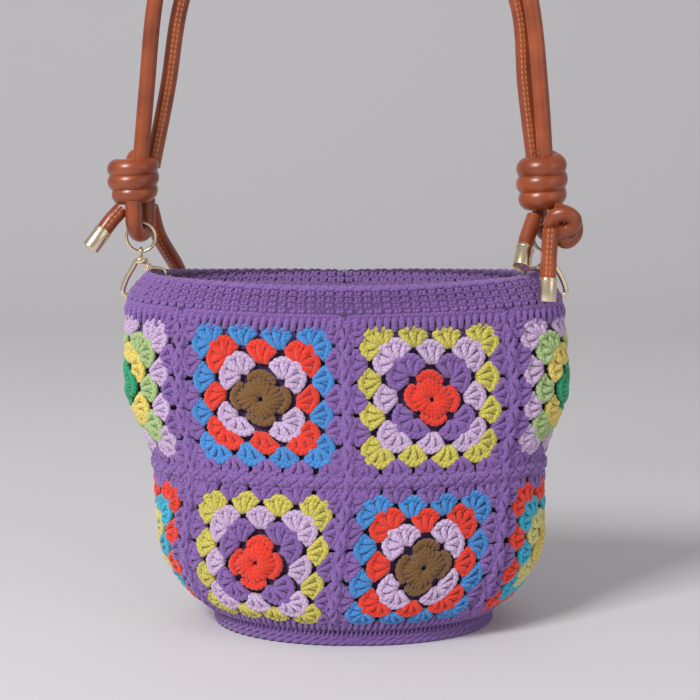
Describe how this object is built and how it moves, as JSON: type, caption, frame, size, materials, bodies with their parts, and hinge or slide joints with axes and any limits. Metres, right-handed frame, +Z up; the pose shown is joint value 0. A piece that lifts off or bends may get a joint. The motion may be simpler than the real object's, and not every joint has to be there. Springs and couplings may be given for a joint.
{
  "type": "crochet bucket bag",
  "caption": "Bucket bag of joined crochet granny squares with a ridged rim, a fabric lining and a knotted leather cord strap clipped on by snap hooks.",
  "frame": {"origin": "centre of the base oval, on the floor that the bag stands on", "axes": "+Z up; the front, with two upright rows of squares and a seam between them, faces -Y; +X to the right of a viewer who looks at the front"},
  "size_m": [0.2461, 0.1154, 0.4307],
  "materials": {
    "purple_cotton": "matt crochet cotton, purple",
    "lilac_cotton": "matt crochet cotton, lilac outer colour round",
    "blue_cotton": "matt crochet cotton, blue outer colour round",
    "yellow_cotton": "matt crochet cotton, yellow outer colour round",
    "red_cotton": "matt crochet cotton, orange-red outer colour round",
    "cream_lining": "plain woven cloth, cream",
    "tan_leather": "smooth waxed leather, tan",
    "pale_gold": "polished pale gold plating"
  },
  "bodies": {
    "bag": {"base_panel": "purple_cotton", "lining": "cream_lining", "lower_seam_1": "purple_cotton", "lower_seam_2": "purple_cotton", "lower_seam_3": "purple_cotton", "lower_seam_4": "purple_cotton", "lower_seam_5": "purple_cotton", "lower_seam_6": "purple_cotton", "lower_square_back_left": "blue_cotton", "lower_square_back_right": "yellow_cotton", "lower_square_front_left": "yellow_cotton", "lower_square_front_right": "blue_cotton", "lower_square_left": "red_cotton", "lower_square_right": "red_cotton", "rim_band": "purple_cotton", "seam_girdle": "purple_cotton", "upper_seam_1": "purple_cotton", "upper_seam_2": "purple_cotton", "upper_seam_3": "purple_cotton", "upper_seam_4": "purple_cotton", "upper_seam_5": "purple_cotton", "upper_seam_6": "purple_cotton", "upper_square_back_left": "yellow_cotton", "upper_square_back_right": "blue_cotton", "upper_square_front_left": "blue_cotton", "upper_square_front_right": "yellow_cotton", "upper_square_left": "lilac_cotton", "upper_square_right": "lilac_cotton"},
    "strap": {"left_back_tail": "tan_leather", "left_back_tail_cap": "pale_gold", "left_front_tail": "tan_leather", "left_front_tail_cap": "pale_gold", "left_gate_spring": "pale_gold", "left_hook": "pale_gold", "left_knot": "tan_leather", "left_ring_loop": "tan_leather", "left_rivet": "pale_gold", "right_front_tail": "tan_leather", "right_front_tail_cap": "pale_gold", "right_gate_spring": "pale_gold", "right_hitch": "tan_leather", "right_hook": "pale_gold", "right_inner_tail": "tan_leather", "right_inner_tail_cap": "pale_gold", "right_knot": "tan_leather", "right_ring_loop": "tan_leather", "right_rivet": "pale_gold", "strap_cord_back": "tan_leather", "strap_cord_front": "tan_leather"},
    "left_swivel_body": {"left_ring": "pale_gold", "left_swivel": "pale_gold"},
    "right_swivel_body": {"right_ring": "pale_gold", "right_swivel": "pale_gold"},
    "left_gate_body": {"left_gate": "pale_gold"},
    "right_gate_body": {"right_gate": "pale_gold"}
  },
  "joints": [
    {"name": "strap_swing", "type": "hinge", "parent": "bag", "child": "strap", "pos_m": [0, 0, 0.16635], "axis": [1, 0, 0], "range_deg": [-12, 5]},
    {"name": "left_ring_turn", "type": "hinge", "parent": "strap", "child": "left_swivel_body", "pos_m": [-0.1064, 0, 0.1848], "axis": [0, 0, 1], "range_deg": [-25, 5]},
    {"name": "right_ring_turn", "type": "hinge", "parent": "strap", "child": "right_swivel_body", "pos_m": [0.0971, 0, 0.1848], "axis": [0, 0, 1], "range_deg": [-5, 25]},
    {"name": "left_gate_press", "type": "hinge", "parent": "strap", "child": "left_gate_body", "pos_m": [-0.10285, 0, 0.18079], "axis": [0, 1, 0], "range_deg": [0, 6], "stiffness_Nm_per_rad": 0.01, "springref_deg": -20.05},
    {"name": "right_gate_press", "type": "hinge", "parent": "strap", "child": "right_gate_body", "pos_m": [0.09354, 0, 0.18071], "axis": [0, -1, 0], "range_deg": [0, 6], "stiffness_Nm_per_rad": 0.01, "springref_deg": -20.05}
  ]
}
